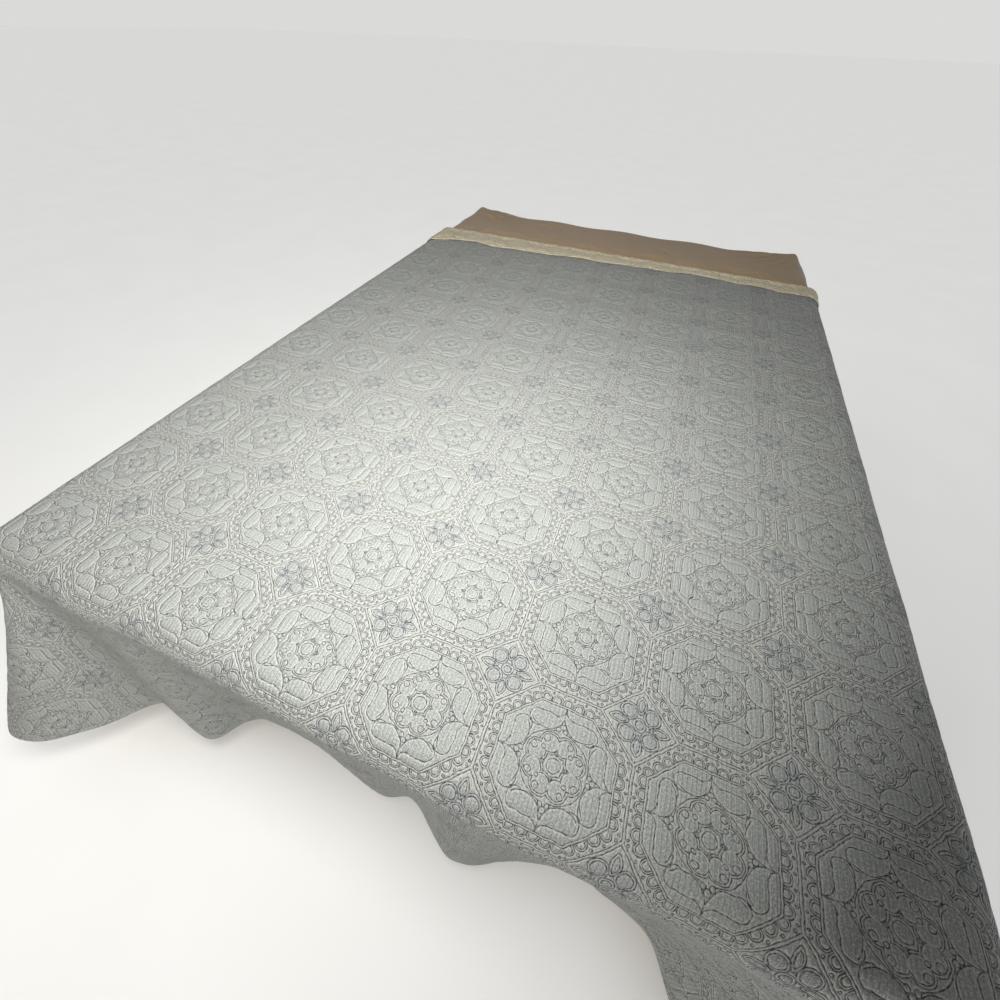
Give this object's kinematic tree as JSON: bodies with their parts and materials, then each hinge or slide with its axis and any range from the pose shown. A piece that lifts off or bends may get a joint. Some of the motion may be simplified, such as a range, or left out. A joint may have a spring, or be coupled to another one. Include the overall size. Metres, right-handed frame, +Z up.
{
  "type": "matelasse coverlet on a mattress and bed base",
  "caption": "Padded woven coverlet with a turned-back cuff, draped over the foot and both sides of a mattress on a plain bed base.",
  "frame": {"origin": "centre of the bed base's underside, on the floor", "axes": "+Z up, +Y along the bed towards its head, +X across the bed to the right of someone who stands at the foot"},
  "size_m": [1.7396, 2.1455, 0.5954],
  "materials": {
    "matelasse": "thick jacquard-woven cotton, padded look, pale grey-blue face and cream reverse",
    "fitted_sheet": "plain tan cotton",
    "base_cover": "plain woven upholstery"
  },
  "bodies": {
    "root": {"coverlet": "matelasse", "mattress": "fitted_sheet", "bed_base": "base_cover"}
  },
  "joints": []
}
